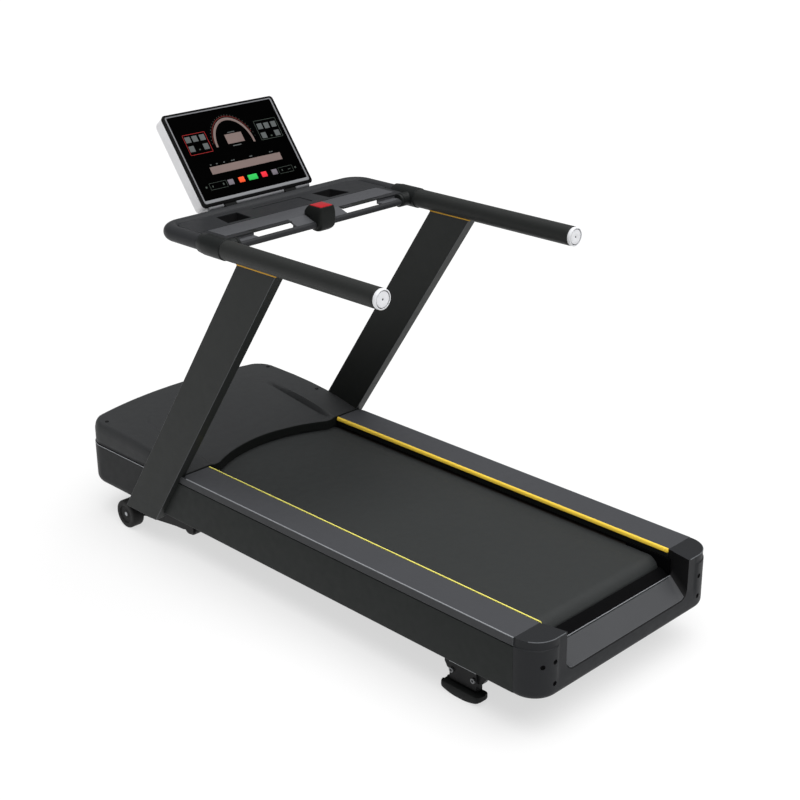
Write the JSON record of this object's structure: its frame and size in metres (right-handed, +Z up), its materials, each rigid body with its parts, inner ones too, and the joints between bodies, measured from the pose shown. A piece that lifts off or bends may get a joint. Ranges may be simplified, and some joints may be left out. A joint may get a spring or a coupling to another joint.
{
  "type": "treadmill",
  "caption": "Motorised treadmill with a belt deck, raked uprights, a handrail loop with a tray and stop switch, a tilting console and a wheeled incline frame.",
  "frame": {"origin": "on the floor under the middle of the bounding box", "axes": "+Z up, +Y towards the console end, +X to the runner's right when facing the console"},
  "size_m": [0.85, 2.06, 1.3834],
  "materials": {
    "black_steel": "satin powder coat",
    "deck_ply": "waxed laminate",
    "black_rubber": "moulded rubber",
    "belt_pvc": "fine woven texture, matt",
    "grey_steel": "satin",
    "zinc_steel": "zinc plated",
    "rail_grey": "fine grain",
    "yellow_plastic": "semi gloss",
    "panel_black": "satin",
    "cap_charcoal": "fine grain",
    "black_screw": "black oxide",
    "cover_charcoal": "fine grain",
    "upright_paint": "satin powder coat",
    "orange_trim": "semi gloss",
    "black_plastic": "fine grain",
    "grip_rubber": "soft matt rubber",
    "white_plastic": "gloss",
    "grey_plastic": "satin",
    "rim_charcoal": "satin",
    "tray_charcoal": "fine grain",
    "motor_paint": "satin",
    "heat_sink": "bead blasted",
    "roller_steel": "turned",
    "pulley_alloy": "cast and turned",
    "flywheel_iron": "machined face",
    "wheel_rubber": "matt",
    "stop_red": "semi gloss",
    "shell_white": "satin paint",
    "bezel_black": "satin",
    "panel_glass": "smoked acrylic, gloss",
    "circuit_green": "solder mask",
    "key_grey": "satin",
    "key_orange": "satin",
    "key_green": "satin",
    "key_red": "satin",
    "switch_red": "gloss"
  },
  "bodies": {
    "base": {"frame_beams": "black_steel", "motor_base": "black_steel", "deck_board": "deck_ply", "deck_cushions": "black_rubber", "running_belt": "belt_pvc", "bearing_blocks": "grey_steel", "roller_tensioners": "zinc_steel", "foot_rail_left": "rail_grey", "foot_rail_right": "rail_grey", "accent_strips": "yellow_plastic", "side_panel_left": "panel_black", "side_panel_right": "panel_black", "rear_cap": "cap_charcoal", "cap_screws": "zinc_steel", "foot_brackets": "black_steel", "foot_bolts": "zinc_steel", "foot_pads": "black_rubber", "hood_upper": "cover_charcoal", "hood_lower": "cover_charcoal", "hood_screws": "black_screw", "belly_pan": "black_steel", "upright_left": "upright_paint", "upright_right": "upright_paint", "upright_trims": "orange_trim", "rail_tees": "black_plastic", "handrail_tubes": "grey_steel", "hand_grips": "grip_rubber", "end_caps": "white_plastic", "crossbar": "grey_plastic", "stop_housing": "black_plastic", "tray_rim": "rim_charcoal", "tray": "tray_charcoal", "hinge_base": "black_plastic", "drive_motor": "motor_paint", "drive_belt": "black_rubber", "motor_controller": "heat_sink", "lift_motor": "motor_paint", "pivot_brackets": "black_steel", "power_inlet": "black_plastic"},
    "front_roller_set": {"front_roller": "roller_steel", "roller_pulley": "pulley_alloy"},
    "rear_roller_set": {"rear_roller": "roller_steel"},
    "motor_rotor": {"motor_shaft": "roller_steel", "flywheel": "flywheel_iron", "motor_pulley": "pulley_alloy"},
    "incline_frame": {"lift_frame": "black_steel"},
    "transport_wheel_left": {"wheel_left": "wheel_rubber"},
    "transport_wheel_right": {"wheel_right": "wheel_rubber"},
    "incline_screw": {"lift_screw": "zinc_steel"},
    "stop_cap": {"stop_button": "stop_red"},
    "console": {"console_shell": "shell_white", "console_bezel": "bezel_black", "console_glass": "panel_glass", "console_board": "circuit_green"},
    "cap_slower": {"key_slower": "key_grey"},
    "cap_stop": {"key_stop": "key_orange"},
    "cap_start": {"key_start": "key_green"},
    "cap_pause": {"key_pause": "key_red"},
    "cap_faster": {"key_faster": "key_grey"},
    "switch_rocker": {"power_switch": "switch_red"}
  },
  "joints": [
    {"name": "motor_spin", "type": "hinge", "parent": "base", "child": "motor_rotor", "pos_m": [-0.15, 0.83, 0.2], "axis": [1, 0, 0], "continuous": true},
    {"name": "front_roller_spin", "type": "hinge", "parent": "base", "child": "front_roller_set", "pos_m": [0, 0.615, 0.2155], "axis": [1, 0, 0], "continuous": true},
    {"name": "rear_roller_spin", "type": "hinge", "parent": "base", "child": "rear_roller_set", "pos_m": [0, -0.883, 0.2155], "axis": [1, 0, 0], "continuous": true},
    {"name": "lift_hinge", "type": "hinge", "parent": "base", "child": "incline_frame", "pos_m": [0, 0.48, 0.083], "axis": [-1, 0, 0], "range_deg": [0, 40]},
    {"name": "wheel_left_spin", "type": "hinge", "parent": "incline_frame", "child": "transport_wheel_left", "pos_m": [-0.381, 0.768, 0.049], "axis": [1, 0, 0], "continuous": true},
    {"name": "wheel_right_spin", "type": "hinge", "parent": "incline_frame", "child": "transport_wheel_right", "pos_m": [0.381, 0.768, 0.049], "axis": [1, 0, 0], "continuous": true},
    {"name": "lift_screw_slide", "type": "slide", "parent": "base", "child": "incline_screw", "axis": [0, 1, 0], "range_m": [0, 0.07]},
    {"name": "stop_button_press", "type": "slide", "parent": "base", "child": "stop_cap", "axis": [0, 0, -1], "range_m": [0, 0.004], "stiffness_N_per_m": 1500, "springref_m": -0.002},
    {"name": "console_tilt", "type": "hinge", "parent": "base", "child": "console", "pos_m": [0, 0.48121, 1.13055], "axis": [-1, 0, 0], "range_deg": [-10, 20]},
    {"name": "key_slower_press", "type": "slide", "parent": "console", "child": "cap_slower", "axis": [0, 0.7976, -0.6032], "range_m": [0, 0.001], "stiffness_N_per_m": 800, "springref_m": -0.0005},
    {"name": "key_stop_press", "type": "slide", "parent": "console", "child": "cap_stop", "axis": [0, 0.7976, -0.6032], "range_m": [0, 0.001], "stiffness_N_per_m": 800, "springref_m": -0.0005},
    {"name": "key_start_press", "type": "slide", "parent": "console", "child": "cap_start", "axis": [0, 0.7976, -0.6032], "range_m": [0, 0.001], "stiffness_N_per_m": 800, "springref_m": -0.0005},
    {"name": "key_pause_press", "type": "slide", "parent": "console", "child": "cap_pause", "axis": [0, 0.7976, -0.6032], "range_m": [0, 0.001], "stiffness_N_per_m": 800, "springref_m": -0.0005},
    {"name": "key_faster_press", "type": "slide", "parent": "console", "child": "cap_faster", "axis": [0, 0.7976, -0.6032], "range_m": [0, 0.001], "stiffness_N_per_m": 800, "springref_m": -0.0005},
    {"name": "power_switch_rock", "type": "hinge", "parent": "base", "child": "switch_rocker", "pos_m": [0.3, 0.987, 0.165], "axis": [1, 0, 0], "range_deg": [0, 12]}
  ],
  "couplings": [
    {"joint": "front_roller_spin", "follows": "motor_spin", "ratio": 0.4},
    {"joint": "rear_roller_spin", "follows": "motor_spin", "ratio": 0.4},
    {"joint": "lift_screw_slide", "follows": "lift_hinge", "m_per_rad": 0.097982}
  ]
}
